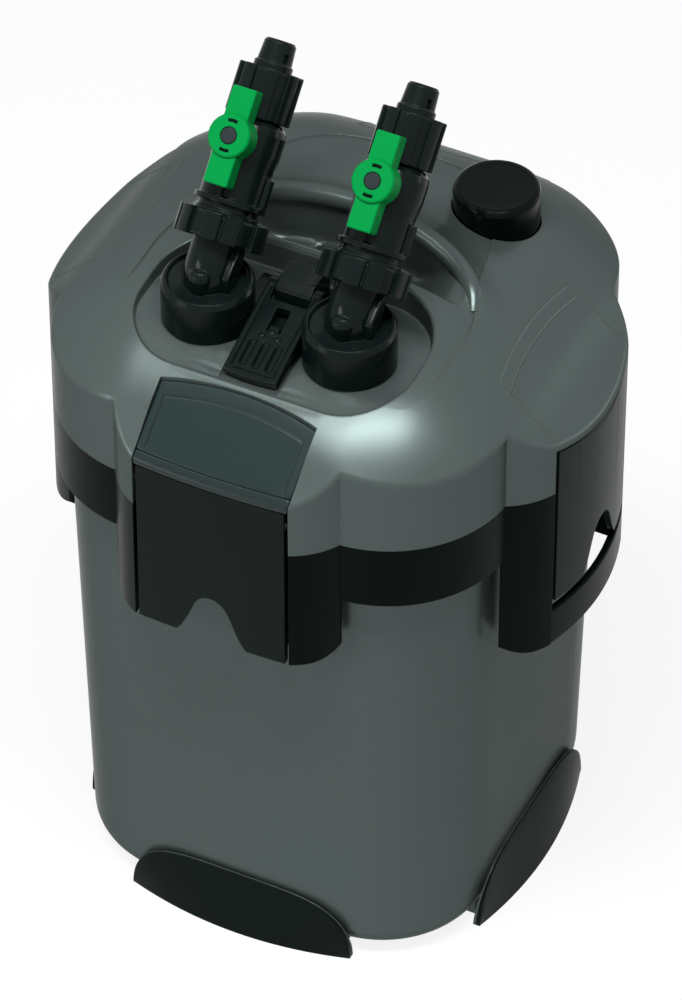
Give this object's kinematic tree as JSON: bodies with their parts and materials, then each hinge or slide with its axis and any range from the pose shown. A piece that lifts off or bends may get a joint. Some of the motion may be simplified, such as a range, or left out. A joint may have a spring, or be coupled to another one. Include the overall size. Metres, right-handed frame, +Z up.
{
  "type": "canister filter",
  "caption": "Square canister filter with a domed pump head, clip latches, carrying grips, a priming button and a lift-out hose adapter with ball taps.",
  "frame": {"origin": "on the floor under the middle of the canister", "axes": "+Z up, -Y out of the front latch with the dark pad, +X towards the side nearer the priming button"},
  "size_m": [0.2526, 0.242, 0.4136],
  "materials": {
    "silver_shell": "satin silver-grey moulding with a metallic look",
    "black_plastic": "semi-gloss black",
    "basket_plastic": "matt black",
    "foot_cover": "satin black",
    "dark_pad": "satin dark grey-green",
    "seal_rubber": "matt black",
    "green_lever": "satin green",
    "lever_cap": "matt dark grey",
    "steel_pin": "drawn",
    "spring_wire": "drawn",
    "inner_plastic": "moulded grey",
    "magnet": "overmoulded magnet rotor",
    "ceramic_shaft": "ground",
    "ceramic_rings": "porous",
    "bio_balls": "moulded black",
    "foam": "open foam"
  },
  "bodies": {
    "filter": {"canister": "silver_shell", "foot_front": "foot_cover", "foot_right": "foot_cover", "foot_back": "foot_cover", "foot_left": "foot_cover", "head_ring": "black_plastic", "head_cover": "silver_shell", "front_pad": "dark_pad", "latch_pin_front": "steel_pin", "latch_pin_right": "steel_pin", "latch_pin_back": "steel_pin", "latch_pin_left": "steel_pin", "hose_adapter": "black_plastic", "tap_body_left": "black_plastic", "tap_body_right": "black_plastic", "cable_gland": "seal_rubber", "pump_plate": "inner_plastic", "rim_seal": "seal_rubber", "motor_housing": "inner_plastic", "impeller_shaft": "ceramic_shaft", "shaft_bush": "seal_rubber", "volute_cover": "inner_plastic", "intake_riser": "inner_plastic", "outlet_pipe": "inner_plastic", "basket_1": "basket_plastic", "basket_2": "basket_plastic", "basket_3": "basket_plastic", "ceramic_rings": "ceramic_rings", "bio_balls": "bio_balls", "foam_pad": "foam", "prime_sleeve": "inner_plastic", "prime_spring": "spring_wire", "spigot_seal_left": "seal_rubber", "spigot_seal_right": "seal_rubber", "lock_pin": "steel_pin"},
    "latch_front": {"latch_front": "black_plastic"},
    "latch_right": {"latch_right": "black_plastic"},
    "latch_back": {"latch_back": "black_plastic"},
    "latch_left": {"latch_left": "black_plastic"},
    "lock_lever": {"lock_lever": "black_plastic"},
    "tap_handle_left": {"tap_ball_left": "inner_plastic", "tap_lever_left": "green_lever", "lever_cap_left": "lever_cap"},
    "swivel_nut_left": {"swivel_nut_left": "black_plastic"},
    "hose_nut_left": {"hose_nut_left": "black_plastic"},
    "tap_handle_right": {"tap_ball_right": "inner_plastic", "tap_lever_right": "green_lever", "lever_cap_right": "lever_cap"},
    "swivel_nut_right": {"swivel_nut_right": "black_plastic"},
    "hose_nut_right": {"hose_nut_right": "black_plastic"},
    "prime_button": {"prime_button": "black_plastic"},
    "impeller": {"impeller": "magnet"}
  },
  "joints": [
    {"name": "latch_front_pivot", "type": "hinge", "parent": "filter", "child": "latch_front", "pos_m": [0, -0.1155, 0.2699], "axis": [-1, 0, 0], "range_deg": [0, 60]},
    {"name": "latch_right_pivot", "type": "hinge", "parent": "filter", "child": "latch_right", "pos_m": [0.1155, 0, 0.2699], "axis": [0, -1, 0], "range_deg": [0, 60]},
    {"name": "latch_back_pivot", "type": "hinge", "parent": "filter", "child": "latch_back", "pos_m": [0, 0.1155, 0.2699], "axis": [1, 0, 0], "range_deg": [0, 60]},
    {"name": "latch_left_pivot", "type": "hinge", "parent": "filter", "child": "latch_left", "pos_m": [-0.1155, 0, 0.2699], "axis": [0, 1, 0], "range_deg": [0, 60]},
    {"name": "lock_lever_pivot", "type": "hinge", "parent": "filter", "child": "lock_lever", "pos_m": [0, -0.0385, 0.325], "axis": [-1, 0, 0], "range_deg": [0, 70]},
    {"name": "tap_left_turn", "type": "hinge", "parent": "filter", "child": "tap_handle_left", "pos_m": [-0.033, -0.01581, 0.37727], "axis": [0, -0.7218, 0.6921], "range_deg": [0, 90]},
    {"name": "swivel_nut_left_turn", "type": "hinge", "parent": "filter", "child": "swivel_nut_left", "pos_m": [-0.033, -0.04177, 0.3502], "axis": [0, 0.6921, 0.7218], "range_deg": [0, 360]},
    {"name": "hose_nut_left_turn", "type": "hinge", "parent": "filter", "child": "hose_nut_left", "pos_m": [-0.033, -0.00162, 0.39206], "axis": [0, 0.6921, 0.7218], "range_deg": [0, 360]},
    {"name": "tap_right_turn", "type": "hinge", "parent": "filter", "child": "tap_handle_right", "pos_m": [0.033, -0.01581, 0.37727], "axis": [0, -0.7218, 0.6921], "range_deg": [0, 90]},
    {"name": "swivel_nut_right_turn", "type": "hinge", "parent": "filter", "child": "swivel_nut_right", "pos_m": [0.033, -0.04177, 0.3502], "axis": [0, 0.6921, 0.7218], "range_deg": [0, 360]},
    {"name": "hose_nut_right_turn", "type": "hinge", "parent": "filter", "child": "hose_nut_right", "pos_m": [0.033, -0.00162, 0.39206], "axis": [0, 0.6921, 0.7218], "range_deg": [0, 360]},
    {"name": "prime_button_press", "type": "slide", "parent": "filter", "child": "prime_button", "axis": [0, 0, -1], "range_m": [0, 0.008], "stiffness_N_per_m": 250, "springref_m": -0.004, "deforming": ["prime_spring"]},
    {"name": "impeller_spin", "type": "hinge", "parent": "filter", "child": "impeller", "pos_m": [0, 0.034, 0.26], "axis": [0, 0, 1], "continuous": true}
  ]
}
